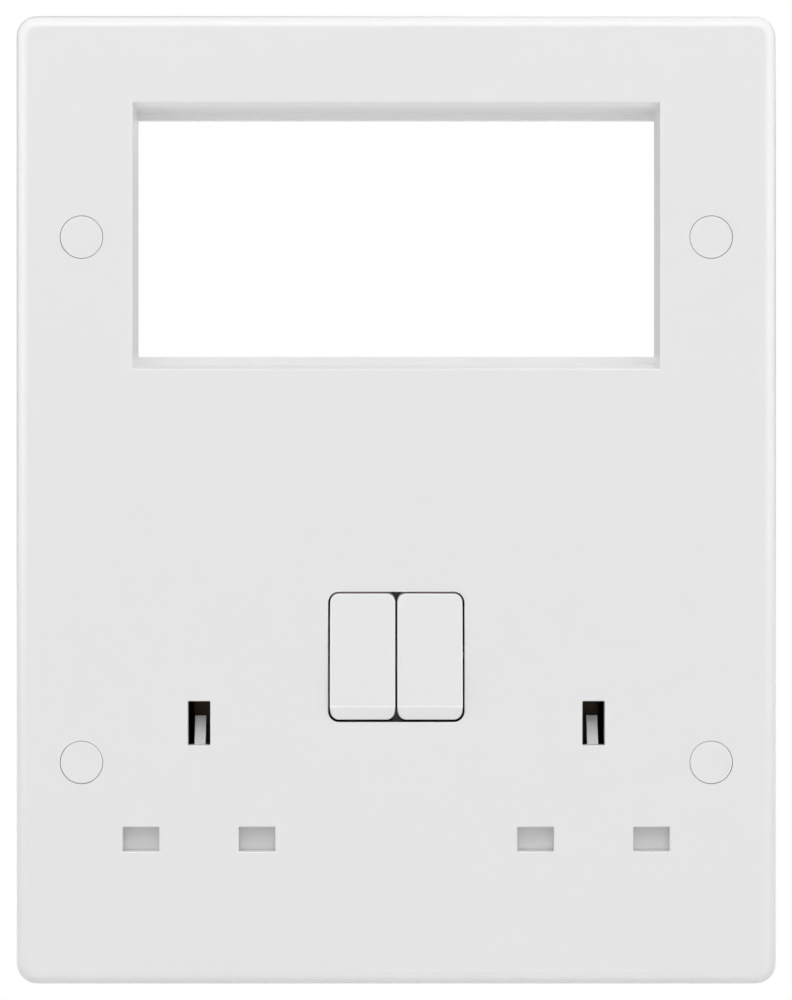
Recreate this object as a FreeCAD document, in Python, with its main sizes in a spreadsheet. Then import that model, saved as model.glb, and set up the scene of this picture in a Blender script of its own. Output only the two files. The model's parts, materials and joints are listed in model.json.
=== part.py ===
import FreeCAD, Part
import math
import os
import re
import Sketcher

# Twin switched socket outlet on a tall wall plate, with a window for snap-in modules above it.
# X runs to the right, Z up and Y into the wall. The plate's back rim lies in the wall plane, Y = 0,
# and the origin is at the centre of the four fixing screws.

sizes = {
    # wall plate
    "plate_width": 146.0,
    "plate_height": 186.0,
    "plate_depth": 9.5,
    "plate_corner": 4.0,
    "plate_edge_round": 2.5,
    "opening_round": 0.25,
    "skin": 3.0,
    "rim_wall": 2.6,
    "rib_thick": 1.6,
    "rib_setback": 1.5,
    "rib_spread": 30.0,
    # module window
    "window_margin": 16.85,
    "window_width": 101.1,
    "window_height": 51.1,
    "window_side_slope": 0.4,
    "window_end_slope": 1.2,
    "window_corner": 0.3,
    "ledge_width": 1.45,
    "ledge_thick": 2.0,
    "collar_wall": 2.0,
    # fixing screws and their caps
    "fixing_pitch_z": 100.6,
    "fixing_radius": 1.75,
    "fixing_neck_radius": 1.5,
    "fixing_length": 25.0,
    "fixing_head_radius": 3.3,
    "fixing_head_thick": 2.2,
    "fixing_clearance": 0.35,
    "drive_width": 0.9,
    "drive_depth": 1.1,
    "cap_radius": 4.05,
    "cap_gap": 0.1,
    "cap_thick": 1.7,
    "cap_skirt_depth": 0.9,
    "cap_skirt_wall": 0.8,
    "cap_edge_round": 0.2,
    "seat_gap": 0.1,
    "post_wall": 0.8,
    "post_room": 0.45,
    # outlets
    "pin_pitch": 22.23,
    "earth_slot_width": 4.3,
    "earth_slot_height": 8.45,
    "line_slot_width": 7.0,
    "line_slot_height": 4.7,
    "slot_corner": 0.2,
    "earth_pin_length": 22.7,
    "pin_room": 0.1,
    # rockers
    "rocker_rise": 12.7,
    "rocker_width": 12.5,
    "rocker_gap": 0.36,
    "rocker_split": 0.4,
    "rocker_reach": 12.79,
    "rocker_proud": 0.9,
    "rocker_tilt": 6.0,
    "rocker_corner": 1.7,
    "rocker_edge_round": 0.3,
    "rocker_face_thick": 2.2,
    "rocker_skirt": 3.6,
    "rocker_skirt_wall": 1.5,
    "facet_height": 2.27,
    "facet_drop": 1.76,
    "aperture_corner": 2.0,
    "pivot_depth": 4.5,
    "hub_width": 10.0,
    "hub_height": 6.8,
    "hub_back": 1.8,
    "trunnion_radius": 1.3,
    "trunnion_clearance": 0.05,
    "cheek_thick": 2.0,
    "cheek_height": 8.0,
    "cheek_back": 3.5,
    "bridge_width": 2.4,
    "bridge_front": 0.5,
    "bridge_hump": 2.6,
    "bridge_hump_half": 3.2,
    "prong_half": 1.1,
    # plunger in each rocker
    "stem_radius": 3.2,
    "stem_back": 6.5,
    "plunger_radius": 1.7,
    "plunger_clearance": 0.08,
    "plunger_bore_floor": -2.2,
    "plunger_tail": 3.2,
    "plunger_gap": 0.1,
    "plunger_coil": 1.3,
    "plunger_wire": 0.2,
    "plunger_pitch": 1.05,
    # seesaw contacts
    "seesaw_depth": 17.1,
    "seesaw_width": 4.0,
    "seesaw_lift": 0.2,
    "seesaw_up": 8.5,
    "seesaw_down": 8.0,
    "knuckle_radius": 0.6,
    "knuckle_clearance": 0.05,
    "fulcrum_half": 1.0,
    "tip_radius": 1.4,
    "tip_thick": 0.65,
    "tip_reach": 7.0,
    "contact_gap": 0.1,
    # conductors
    "strip_thick": 0.8,
    "strip_width": 4.0,
    "bus_depth": 21.2,
    "bus_height": 5.0,
    "lane_gap": 0.21,
    "line_run_gap": 4.13,
    "neutral_gap": 1.4,
    "neutral_run_height": 3.0,
    "clip_width": 6.0,
    "clip_room": 1.385,
    "clip_gap": 0.87,
    "clip_leaf": 0.7,
    "clip_base_half": 2.9,
    "clip_grip": 1.85,
    "clip_mouth": 2.7,
    "clip_grip_depth": 11.2,
    "clip_mouth_depth": 9.4,
    "strap_thick": 0.7,
    "strap_width": 4.5,
    "strap_gap": 1.025,
    # terminals
    "boss_gap": 0.3,
    "block_spacing": 3.8,
    "block_width": 8.0,
    "block_height": 8.0,
    "block_depth": 8.5,
    "block_gap": 0.7,
    "wire_radius": 2.1,
    "wire_depth": 7.0,
    "wire_setback": 3.5,
    "wire_entry_radius": 3.0,
    "terminal_screw_radius": 2.0,
    "terminal_head_radius": 3.0,
    "terminal_head_thick": 1.5,
    "terminal_head_clearance": 0.4,
    "thread_clearance": 0.03,
    # rear housing
    "housing_width": 109.8,
    "top_room": 0.49,
    "bottom_margin": 9.5,
    "housing_wall": 1.6,
    "housing_floor": 2.0,
    "housing_corner": 3.0,
    "housing_edge_round": 1.0,
    "rim_gap": 0.2,
    "support_half": 1.5,
    # self-tapping cover screws
    "cover_inset": 6.9,
    "cover_drop": 11.0,
    "cover_rise": 5.2,
    "cover_seat_depth": 13.7,
    "cover_seat_thick": 2.0,
    "cover_radius": 1.45,
    "cover_clearance": 0.2,
    "cover_length": 9.0,
    "cover_head_radius": 2.6,
    "cover_head_thick": 2.0,
    "boss_radius": 3.0,
    "housing_boss_radius": 3.9,
    "counterbore_radius": 2.85,
    # shutters
    "shutter_gap": 0.2,
    "shutter_thick": 2.5,
    "shutter_cover": 1.1,
    "shutter_side_cover": 0.4,
    "shutter_stem_width": 5.0,
    "ramp_width": 2.1,
    "ramp_rise": 1.1,
    "ramp_depth": 7.4,
    "ramp_end": 1.4,
    "ramp_foot": 4.2,
    "guide_gap": 0.25,
    "guide_thick": 1.2,
    "guide_height": 2.9,
    "guide_length": 10.0,
    "spring_seat_back": 7.5,
    "spring_seat_half": 3.0,
    "shutter_coil": 1.55,
    "shutter_wire": 0.25,
    "shutter_pitch": 1.6,
    "shutter_spring_depth": 5.5,
    "post_x": 6.0,
    "post_half": 1.0,
    "post_gap": 0.3,
}

# Places that follow from the sizes. Depths are measured from the plate's front face.
places = {
    "face": "0 - plate_depth",
    "skin_back": "face + skin",
    "ledge_front": "0 - ledge_thick",
    "window_half_width": "window_width / 2",
    "window_half_height": "window_height / 2",
    "window_z": "plate_height / 2 - window_margin - window_half_height",
    "opening_half_width": "window_half_width - window_side_slope",
    "ledge_half_height": "window_half_height - window_end_slope",
    "opening_half_height": "ledge_half_height - ledge_width",
    "cap_back": "face + cap_thick",
    "skirt_back": "cap_back + cap_skirt_depth",
    "head_front": "skirt_back + seat_gap",
    "head_seat": "head_front + fixing_head_thick",
    "head_recess_radius": "fixing_head_radius + fixing_clearance",
    "post_radius": "cap_radius + cap_gap + post_wall",
    "fixing_x": "max(housing_half; window_half_width + collar_wall) + post_radius + post_room",
    "outlet_x": "inner_half - clip_room - clip_width / 2 - pin_pitch / 2",
    "neutral_run_z": "block_top + neutral_gap + neutral_run_height / 2",
    "line_z": "neutral_run_z + neutral_run_height / 2 + clip_gap + clip_base_half",
    "line_run_z": "line_z + clip_base_half + line_run_gap + strip_width / 2",
    "earth_z": "line_z + pin_pitch",
    "strap_z": "earth_z - earth_slot_height / 2 - strap_gap - strap_width / 2",
    "rocker_z": "earth_z + rocker_rise",
    "pivot_y": "face + pivot_depth",
    "rocker_x": "rocker_split / 2 + rocker_width / 2",
    "aperture_half": "rocker_split / 2 + rocker_width + rocker_gap",
    "aperture_reach": "rocker_reach + rocker_gap",
    "face_height": "pivot_depth + rocker_proud",
    "facet_end": "sqrt(rocker_reach ^ 2 - (face_height - facet_drop) ^ 2)",
    "notch_radius": "trunnion_radius + trunnion_clearance",
    "cheek_in": "aperture_half + trunnion_clearance + rocker_gap / 2",
    "cheek_out": "cheek_in + cheek_thick",
    "cheek_rear": "pivot_y + cheek_back",
    "bridge_end": "aperture_reach + rocker_gap + cheek_thick",
    "lane_x": "cheek_out + lane_gap + strip_width / 2",
    "seesaw_y": "face + seesaw_depth",
    "strip_front_seesaw": "seesaw_lift + strip_thick",
    "plunger_tip": "seesaw_y - strip_front_seesaw - plunger_gap - pivot_y",
    "fixed_tip_front": "seesaw_y + (tip_thick - seesaw_lift) * cos(rocker_tilt * 1 deg)"
                       " + (tip_reach + tip_radius) * sin(rocker_tilt * 1 deg) + contact_gap",
    "strip_front": "fixed_tip_front + tip_thick",
    "strip_back": "strip_front + strip_thick",
    "bus_front": "face + bus_depth",
    "bus_back": "bus_front + strip_thick",
    "floor_y": "face + earth_pin_length + pin_room + strap_thick",
    "back_y": "floor_y + housing_floor",
    "strap_front": "floor_y - strap_thick",
    "housing_half": "housing_width / 2",
    "inner_half": "housing_half - housing_wall",
    "housing_top": "rocker_z + bridge_end + top_room + housing_wall",
    "housing_bottom": "bottom_margin - plate_height / 2",
    "inner_bottom": "housing_bottom + housing_wall",
    "block_bottom": "inner_bottom + block_gap",
    "block_top": "block_bottom + block_height",
    "block_front": "strap_front - block_depth",
    "wire_y": "block_front + wire_setback",
    "terminal_z": "block_bottom + block_height / 2",
    "terminal_inner_x": "housing_boss_radius + boss_gap + block_width / 2",
    "terminal_outer_x": "terminal_inner_x + block_width + block_spacing",
    "cover_x": "housing_half - cover_inset",
    "cover_top_z": "housing_top - cover_drop",
    "cover_bottom_z": "housing_bottom + cover_rise",
    "cover_seat": "face + cover_seat_depth",
    "boss_back": "cover_seat - cover_seat_thick",
    "shutter_front": "skin_back + shutter_gap",
    "shutter_back": "shutter_front + shutter_thick",
    "bar_half": "pin_pitch / 2 + line_slot_width / 2 + shutter_side_cover",
    "bar_top": "line_z + line_slot_height / 2 + shutter_cover",
    "bar_bottom": "line_z - line_slot_height / 2 - shutter_cover",
    "ramp_top": "earth_z + ramp_rise",
    "ramp_bottom": "earth_z - ramp_foot",
    "ramp_back": "face + ramp_depth",
    "guide_bottom": "bar_top + seat_gap",
    "spring_y": "face + shutter_spring_depth",
    "spring_seat_y": "face + spring_seat_back",
    "post_front": "shutter_back + post_gap",
}

doc = FreeCAD.newDocument("TwinSocketPlate")
sheet = doc.addObject("Spreadsheet::Sheet", "Sizes")
for row, (alias, value) in enumerate(sizes.items(), start=1):
    sheet.set("A" + str(row), str(value))
    sheet.setAlias("A" + str(row), alias)
doc.recompute()

ALONG_X = FreeCAD.Rotation(FreeCAD.Vector(0, 1, 0), 90)
ALONG_Y = FreeCAD.Rotation(FreeCAD.Vector(-1, 0, 0), 90)
RUNS_PER_TURN = 12
nodes = []


def full(text):
    """Write an expression out in full, in terms of the sheet's cells."""
    def swap(match):
        word = match.group()
        if word in sizes:
            return "Sizes." + word
        if word in places:
            return "(" + full(places[word]) + ")"
        return word
    return re.sub(r"[a-z][a-z_]*", swap, str(text))


def number(text):
    result = sheet.evalExpression(full(text))
    return float(getattr(result, "Value", result))


def sided(side, low, high):
    """A span on the right, or the same span mirrored to the left."""
    if side > 0:
        return low, high
    return f"0 - ({high})", f"0 - ({low})"


def bind(item, **texts):
    for name, text in texts.items():
        item.setExpression(name, full(text))


def put(item, x="0", y="0", z="0"):
    for axis, text in zip("xyz", (x, y, z)):
        item.setExpression("Placement.Base." + axis, full(text))


def new_body(label):
    body = doc.addObject("PartDesign::Body", label)
    body.Label = label
    return body


def start_shape(body, kind, cut):
    """A primitive of its own when there is no body, or else the body's next feature."""
    if body is None:
        return doc.addObject("Part::" + kind, kind)
    return body.newObject("PartDesign::" + ("Subtractive" if cut else "Additive") + kind, kind)


def box(body, xs, ys, zs, cut=False):
    item = start_shape(body, "Box", cut)
    bind(item, Length=f"({xs[1]}) - ({xs[0]})", Width=f"({ys[1]}) - ({ys[0]})",
         Height=f"({zs[1]}) - ({zs[0]})")
    put(item, xs[0], ys[0], zs[0])
    return item


def rod(body, turn, radius, length, at, cut=False):
    item = start_shape(body, "Cylinder", cut)
    item.Placement = FreeCAD.Placement(FreeCAD.Vector(), turn)
    bind(item, Radius=radius, Height=length)
    put(item, *at)
    return item


def rod_y(body, radius, ys, x, z, cut=False):
    return rod(body, ALONG_Y, radius, f"({ys[1]}) - ({ys[0]})", (x, ys[0], z), cut)


def rod_x(body, radius, xs, y, z, cut=False):
    return rod(body, ALONG_X, radius, f"({xs[1]}) - ({xs[0]})", (xs[0], y, z), cut)


def rod_z(body, radius, zs, x, y, cut=False):
    return rod(body, FreeCAD.Rotation(), radius, f"({zs[1]}) - ({zs[0]})", (x, y, zs[0]), cut)


def rounded_hole(x, z, half_x, half_z, corner, ys):
    """Tools for a rectangular hole along Y with rounded corners."""
    tools = [box(None, around(x, f"{half_x} - {corner}"), ys, around(z, half_z)),
             box(None, around(x, half_x), ys, around(z, f"{half_z} - {corner}"))]
    for end_x in (-1, 1):
        for end_z in (-1, 1):
            tools.append(rod_y(None, corner, ys, f"{x} + {end_x} * ({half_x} - {corner})",
                               f"{z} + {end_z} * ({half_z} - {corner})"))
    return tools


def join(name, items):
    joined = doc.addObject("Part::MultiFuse", name)
    joined.Shapes = items
    joined.Refine = True
    return joined


def cut_from(name, solid, tools):
    rest = doc.addObject("Part::Cut", name)
    rest.Base = solid
    rest.Tool = join(name + "_tools", tools)
    rest.Refine = True
    return rest


def outline(body, role, points, offset):
    """A closed polygon sketch on one of the body's own planes, each corner bound to the sheet."""
    sketch = body.newObject("Sketcher::SketchObject", "Outline")
    plane = [item for item in body.Origin.OriginFeatures if item.Role == role][0]
    sketch.AttachmentSupport = (plane, [""])
    sketch.MapMode = "FlatFace"
    sketch.setExpression("AttachmentOffset.Base.z", full(offset))
    corners = [FreeCAD.Vector(number(u), number(v), 0) for u, v in points]
    last = len(corners)
    for index, corner in enumerate(corners):
        sketch.addGeometry(Part.LineSegment(corner, corners[(index + 1) % last]))
    for index in range(last):
        sketch.addConstraint(Sketcher.Constraint("Coincident", index, 2, (index + 1) % last, 1))
    for index, (u, v) in enumerate(points):
        for kind, text in (("DistanceX", u), ("DistanceY", v)):
            place = sketch.addConstraint(Sketcher.Constraint(kind, -1, 1, index, 1, number(text)))
            sketch.setExpression(f"Constraints[{place}]", full(text))
    return sketch


def pad(body, role, points, start, length):
    item = body.newObject("PartDesign::Pad", "Pad")
    item.Profile = outline(body, role, points, start)
    bind(item, Length=length)
    return item


def pocket(body, role, points, start, length):
    item = body.newObject("PartDesign::Pocket", "Pocket")
    item.Profile = outline(body, role, points, start)
    bind(item, Length=length)
    return item


def round_edges(body, radius, wanted):
    doc.recompute()
    base = body.Tip
    names = [f"Edge{index}" for index, edge in enumerate(base.Shape.Edges, start=1) if wanted(edge)]
    item = body.newObject("PartDesign::Fillet", "Round")
    item.Base = (base, names)
    bind(item, Radius=radius)
    doc.recompute()
    return item


def near(one, other):
    return abs(one - other) < 1e-4


def runs_along(edge, axis):
    span = edge.BoundBox
    lengths = {"x": span.XLength, "y": span.YLength, "z": span.ZLength}
    return all(size < 1e-4 for name, size in lengths.items() if name != axis)


def in_plane_y(edge, y):
    return near(edge.BoundBox.YMin, y) and near(edge.BoundBox.YMax, y)


def finish(item, label):
    item.Label = label
    nodes.append(item)


fixing_places = {
    "upper_left": ("0 - fixing_x", "fixing_pitch_z / 2"),
    "upper_right": ("fixing_x", "fixing_pitch_z / 2"),
    "lower_left": ("0 - fixing_x", "0 - fixing_pitch_z / 2"),
    "lower_right": ("fixing_x", "0 - fixing_pitch_z / 2"),
}
cover_places = [
    ("0 - cover_x", "cover_top_z"),
    ("cover_x", "cover_top_z"),
    ("0 - cover_x", "cover_bottom_z"),
    ("0", "cover_bottom_z"),
    ("cover_x", "cover_bottom_z"),
]
terminal_places = {
    "earth_left": "0 - terminal_outer_x",
    "neutral": "0 - terminal_inner_x",
    "line": "terminal_inner_x",
    "earth_right": "terminal_outer_x",
}
sides = {"left": -1, "right": 1}


def outlet(side):
    return f"{side} * outlet_x"


def line_x(side):
    return f"{side} * outlet_x + pin_pitch / 2"


def neutral_x(side):
    return f"{side} * outlet_x - pin_pitch / 2"


def around(middle, half):
    return f"({middle}) - ({half})", f"({middle}) + ({half})"


def plate_shell():
    """The dished blank: a rounded block with a hollow back."""
    body = new_body("plate_shell")
    box(body, around("0", "plate_width / 2"), ("face", "0"), around("0", "plate_height / 2"))
    round_edges(body, "plate_corner", lambda edge: runs_along(edge, "y"))
    round_edges(body, "plate_edge_round", lambda edge: in_plane_y(edge, number("face")))
    box(body, around("0", "plate_width / 2 - rim_wall"), ("skin_back", "0"),
        around("0", "plate_height / 2 - rim_wall"), cut=True)
    return body


def window_tools():
    """The mouth's sloping walls, and the opening between the ledges that the modules clip behind."""
    mouth = doc.addObject("Part::Wedge", "Mouth")
    bind(mouth, Xmin="0 - window_half_width", Xmax="window_half_width", Ymin="0",
         Ymax="ledge_front - face", Zmin="0 - window_half_height", Zmax="window_half_height",
         X2min="0 - opening_half_width", X2max="opening_half_width",
         Z2min="0 - ledge_half_height", Z2max="ledge_half_height")
    put(mouth, "0", "face", "window_z")
    return [mouth] + rounded_hole("0", "window_z", "opening_half_width", "opening_half_height",
                                  "window_corner", ("ledge_front", "0"))


def post_tools(x, z):
    """The stepped bore of a fixing post: cap, screw head, then shank."""
    return [rod_y(None, "cap_radius + cap_gap", ("face", "cap_back"), x, z),
            rod_y(None, "head_recess_radius", ("face", "head_seat"), x, z),
            rod_y(None, "fixing_radius + fixing_clearance", ("face", "0"), x, z)]


def aperture_tool():
    """One opening for both rockers, its ends curved about their pivot."""
    body = new_body("aperture_tool")
    rod_x(body, "aperture_reach", around("0", "aperture_half"), "0", "0")
    round_edges(body, "aperture_corner", lambda edge: near(edge.BoundBox.XLength, 0))
    put(body, "0", "pivot_y", "rocker_z")
    return body


def notch_tools():
    """Bearing notches for the trunnions, open to the back."""
    return [rod_x(None, "notch_radius", around("0", "cheek_out"), "pivot_y", "rocker_z"),
            box(None, around("0", "cheek_out"), ("pivot_y", "cheek_rear"),
                around("rocker_z", "notch_radius"))]


def rocker_bridge():
    """The bar between the two rockers that carries their inner trunnions."""
    xs = around("0", "bridge_width / 2")
    bars = [box(None, xs, ("pivot_y + bridge_front", "cheek_rear"),
                around("rocker_z", "bridge_end")),
            box(None, xs, ("pivot_y - bridge_hump", "cheek_rear"), around("rocker_z", "bridge_hump_half"))]
    for end in (-1, 1):
        leg_z = f"rocker_z + {end} * (bridge_end - cheek_thick / 2)"
        bars.append(box(None, xs, ("skin_back", "cheek_rear"), around(leg_z, "cheek_thick / 2")))
    return cut_from("bridge", join("bridge_bars", bars), notch_tools())


def slot_tools(side):
    ys = ("face", "skin_back")
    tools = rounded_hole(outlet(side), "earth_z", "earth_slot_width / 2", "earth_slot_height / 2",
                         "slot_corner", ys)
    for x in (line_x(side), neutral_x(side)):
        tools += rounded_hole(x, "line_z", "line_slot_width / 2", "line_slot_height / 2", "slot_corner", ys)
    return tools


def shutter_guide(side, end):
    middle = f"{outlet(side)} + {end} * (shutter_stem_width / 2 + guide_gap + guide_thick / 2)"
    return box(None, around(middle, "guide_thick / 2"), ("skin_back", "skin_back + guide_height"),
               ("guide_bottom", "guide_bottom + guide_length"))


def soften_mouths(plate):
    """Round the front edges of the window, the slots and the rocker aperture."""
    doc.recompute()
    limit = number("fixing_x - cap_radius - cap_gap")
    radius = number("opening_round")
    edges = []
    for index, edge in enumerate(plate.Shape.Edges, start=1):
        span = edge.BoundBox
        if in_plane_y(edge, number("face")) and -limit < span.XMin and span.XMax < limit:
            edges.append((index, radius, radius))
    rounded = doc.addObject("Part::Fillet", "front_plate")
    rounded.Base = plate
    rounded.Edges = edges
    return rounded


def front_plate():
    solids = [plate_shell()]
    tools = window_tools() + [aperture_tool()] + notch_tools()
    solids.append(box(None, around("0", "window_half_width + collar_wall"), ("skin_back", "0"),
                      around("window_z", "window_half_height + collar_wall")))
    for x, z in fixing_places.values():
        solids.append(rod_y(None, "post_radius", ("skin_back", "0"), x, z))
        tools += post_tools(x, z)
    for x, z in cover_places:
        solids.append(rod_y(None, "boss_radius", ("skin_back", "boss_back"), x, z))
        tools.append(rod_y(None, "cover_radius + thread_clearance",
                           ("cover_seat - cover_length - seat_gap", "boss_back"), x, z))
    for side in sides.values():
        solids.append(box(None, around(f"{side} * rib_spread", "rib_thick / 2"),
                          ("skin_back", "0 - rib_setback"),
                          ("housing_top + seat_gap", "window_z - window_half_height")))
        solids.append(box(None, sided(side, "cheek_in", "cheek_out"), ("skin_back", "cheek_rear"),
                          around("rocker_z", "cheek_height / 2")))
        solids += [shutter_guide(side, -1), shutter_guide(side, 1)]
        tools += slot_tools(side)
    pierced = cut_from("plate_pierced", join("plate_solid", solids), tools)
    finish(soften_mouths(join("plate_bridged", [pierced, rocker_bridge()])), "front_plate")


def screw_cap(name, x, z):
    body = new_body("screw_cap_" + name)
    rod_y(body, "cap_radius", ("face", "cap_back"), x, z)
    round_edges(body, "cap_edge_round", lambda edge: in_plane_y(edge, number("face")))
    rod_y(body, "head_recess_radius - thread_clearance", ("cap_back", "skirt_back"), x, z)
    rod_y(body, "head_recess_radius - cap_skirt_wall", ("cap_back", "skirt_back"), x, z, cut=True)
    finish(body, "screw_cap_" + name)


def fixing_screws():
    screws = []
    for name, (x, z) in fixing_places.items():
        body = new_body("fixing_screw_" + name)
        rod_y(body, "fixing_head_radius", ("head_front", "head_seat"), x, z)
        rod_y(body, "fixing_neck_radius", ("head_seat", "0"), x, z)
        rod_y(body, "fixing_radius", ("0", "head_seat + fixing_length"), x, z)
        box(body, around(x, "fixing_head_radius"), ("head_front", "head_front + drive_depth"),
            around(z, "drive_width / 2"), cut=True)
        screws.append(body)
    group = doc.addObject("Part::Compound", "fixing_screws")
    group.Links = screws
    finish(group, "fixing_screws")


def cover_screws():
    screws = []
    for x, z in cover_places:
        body = new_body("cover_screw")
        rod_y(body, "cover_radius", ("cover_seat - cover_length", "cover_seat"), x, z)
        rod_y(body, "cover_head_radius", ("cover_seat", "cover_seat + cover_head_thick"), x, z)
        for half_x, half_z in (("drive_width / 2", "cover_radius"), ("cover_radius", "drive_width / 2")):
            box(body, around(x, half_x), ("cover_seat + cover_head_thick - drive_depth",
                                          "cover_seat + cover_head_thick"), around(z, half_z), cut=True)
        screws.append(body)
    group = doc.addObject("Part::Compound", "cover_screws")
    group.Links = screws
    finish(group, "cover_screws")


def tilt_about(body, turn_axis, x, y):
    """Stand a part that was drawn about its own pivot at its place, turned to the off position."""
    body.Placement = FreeCAD.Placement(FreeCAD.Vector(), FreeCAD.Rotation(turn_axis, 1))
    body.setExpression("Placement.Rotation.Angle", full("rocker_tilt"))
    put(body, x, y, "rocker_z")


TOP_IN = FreeCAD.Vector(-1, 0, 0)
TOP_OUT = FreeCAD.Vector(1, 0, 0)


def rocker(name, side):
    """Drawn about its pivot, face to -Y: a face with curved ends, a hub with trunnions and a hollow stem."""
    body = new_body("rocker_" + name)
    half = "rocker_width / 2"
    rod_x(body, "rocker_reach", around("0", half), "0", "0")
    round_edges(body, "rocker_corner", lambda edge: near(edge.BoundBox.XLength, 0))
    past = "rocker_reach + rocker_proud"
    box(body, around("0", half), (f"0 - ({past})", "0 - face_height"), around("0", past), cut=True)
    skirt_end = "rocker_skirt - face_height"
    box(body, around("0", half), (skirt_end, past), around("0", past), cut=True)
    facet = [
        ("0 - face_height", "facet_height - facet_end"),
        ("facet_drop - face_height", "0 - facet_end"),
        ("facet_drop - face_height", f"0 - ({past})"),
        (f"0 - ({past})", f"0 - ({past})"),
        (f"0 - ({past})", "facet_height - facet_end"),
    ]
    pocket(body, "YZ_Plane", facet, half, "rocker_width")
    round_edges(body, "rocker_edge_round", lambda edge: in_plane_y(edge, number("0 - face_height")))
    hollow = "rocker_reach - facet_height - rocker_skirt_wall"
    box(body, around("0", f"{half} - rocker_skirt_wall"), ("rocker_face_thick - face_height", skirt_end),
        around("0", hollow), cut=True)
    box(body, around("0", half), ("rocker_face_thick - face_height", skirt_end),
        around("0", "bridge_hump_half + 2 * rocker_gap"), cut=True)
    box(body, around("0", "hub_width / 2"), ("rocker_face_thick - face_height", "hub_back"),
        around("0", "hub_height / 2"))
    rod_y(body, "stem_radius", ("rocker_face_thick - face_height", "stem_back"), "0", "0")
    rod_y(body, "plunger_radius + plunger_clearance", ("plunger_bore_floor", "stem_back"), "0", "0",
          cut=True)
    inner = "rocker_x - thread_clearance - rocker_split / 2"
    outer = "cheek_out - rocker_x - rocker_gap"
    for end, reach in ((side, outer), (-side, inner)):
        rod_x(body, "trunnion_radius", sided(end, "hub_width / 2", reach), "0", "0")
    tilt_about(body, TOP_IN, f"{side} * rocker_x", "pivot_y")
    finish(body, "rocker_" + name)


def plunger(name, side):
    body = new_body("plunger_" + name)
    centre = "plunger_tip - plunger_radius"
    rod_y(body, "plunger_radius", ("plunger_tail", centre), "0", "0")
    ball = body.newObject("PartDesign::AdditiveSphere", "Nose")
    bind(ball, Radius="plunger_radius")
    put(ball, "0", centre, "0")
    tilt_about(body, TOP_IN, f"{side} * rocker_x", "pivot_y")
    finish(body, "plunger_" + name)


def coil(label, radius, wire, pitch, length, start, turn_axis, turn_angle):
    """A coil spring in short straight runs, drawn upright from its start and turned about X."""
    height = number(f"{length} - 2 * {wire}")
    turns = height / number(pitch)
    count = round(turns * RUNS_PER_TURN)
    corners = []
    for step in range(count + 1):
        angle = 2 * math.pi * turns * step / count
        corners.append(FreeCAD.Vector(number(radius) * math.cos(angle), number(radius) * math.sin(angle),
                                      height * step / count))
    stand = FreeCAD.Placement(FreeCAD.Vector(*[number(text) for text in start]),
                              FreeCAD.Rotation(turn_axis, number(turn_angle)))
    path = doc.addObject("Part::Feature", label + "_path")
    path.Shape = Part.makePolygon(corners)
    path.Placement = stand
    section = doc.addObject("Part::Circle", label + "_section")
    bind(section, Radius=wire)
    across = FreeCAD.Rotation(FreeCAD.Vector(0, 0, 1), corners[1] - corners[0])
    section.Placement = stand.multiply(FreeCAD.Placement(corners[0], across))
    sweep = doc.addObject("Part::Sweep", label)
    sweep.Sections = [section]
    sweep.Spine = (path, [])
    sweep.Solid = True
    sweep.Transition = "Right corner"
    finish(sweep, label)


def plunger_spring(name, side):
    start = "(plunger_bore_floor + plunger_wire)"
    coil("plunger_spring_" + name, "plunger_coil", "plunger_wire", "plunger_pitch",
         "(plunger_tail - plunger_bore_floor)",
         (f"{side} * rocker_x", f"pivot_y + {start} * cos(rocker_tilt * 1 deg)",
          f"rocker_z - {start} * sin(rocker_tilt * 1 deg)"), TOP_IN, "(90 + rocker_tilt)")


def shutter_spring(name, side):
    coil("shutter_spring_" + name, "shutter_coil", "shutter_wire", "shutter_pitch",
         "(bar_bottom - inner_bottom)",
         (outlet(side), "spring_y", "inner_bottom + shutter_wire"), TOP_OUT, "0")


def seesaw(name, side):
    """Drawn about its knuckle: a strip that rocks on the busbar, with a silver tip on its upper arm."""
    body = new_body("seesaw_contact_" + name)
    box(body, around("0", "seesaw_width / 2"), ("0 - strip_front_seesaw", "0 - seesaw_lift"),
        ("0 - seesaw_down", "seesaw_up"))
    rod_x(body, "knuckle_radius", around("0", "seesaw_width / 2"), "0", "0")
    tilt_about(body, TOP_OUT, f"{side} * rocker_x", "seesaw_y")
    finish(body, "seesaw_contact_" + name)
    tip = new_body("moving_tip_" + name)
    rod_y(tip, "tip_radius", ("0 - seesaw_lift", "tip_thick - seesaw_lift"), "0", "tip_reach")
    tilt_about(tip, TOP_OUT, f"{side} * rocker_x", "seesaw_y")
    finish(tip, "moving_tip_" + name)


def fixed_tip(name, side):
    body = new_body("fixed_tip_" + name)
    rod_y(body, "tip_radius", ("fixed_tip_front", "strip_front"), f"{side} * rocker_x",
          "rocker_z + tip_reach")
    finish(body, "fixed_tip_" + name)


def strip(body, xs, zs):
    box(body, xs, ("strip_front", "strip_back"), zs)


def pin_clip(body, x):
    """A folded clip that grips a line or neutral pin from above and below."""
    strip(body, around(x, "clip_width / 2"), around("line_z", "clip_base_half"))
    for end in (-1, 1):
        leaf = [
            ("strip_front", f"line_z + {end} * clip_base_half"),
            ("strip_front", f"line_z + {end} * (clip_base_half - clip_leaf)"),
            ("face + clip_grip_depth", f"line_z + {end} * clip_grip"),
            ("face + clip_mouth_depth", f"line_z + {end} * clip_mouth"),
            ("face + clip_mouth_depth", f"line_z + {end} * (clip_mouth + clip_leaf)"),
            ("face + clip_grip_depth", f"line_z + {end} * (clip_grip + clip_leaf)"),
        ]
        pad(body, "YZ_Plane", leaf, f"{x} - clip_width / 2", "clip_width")


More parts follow.
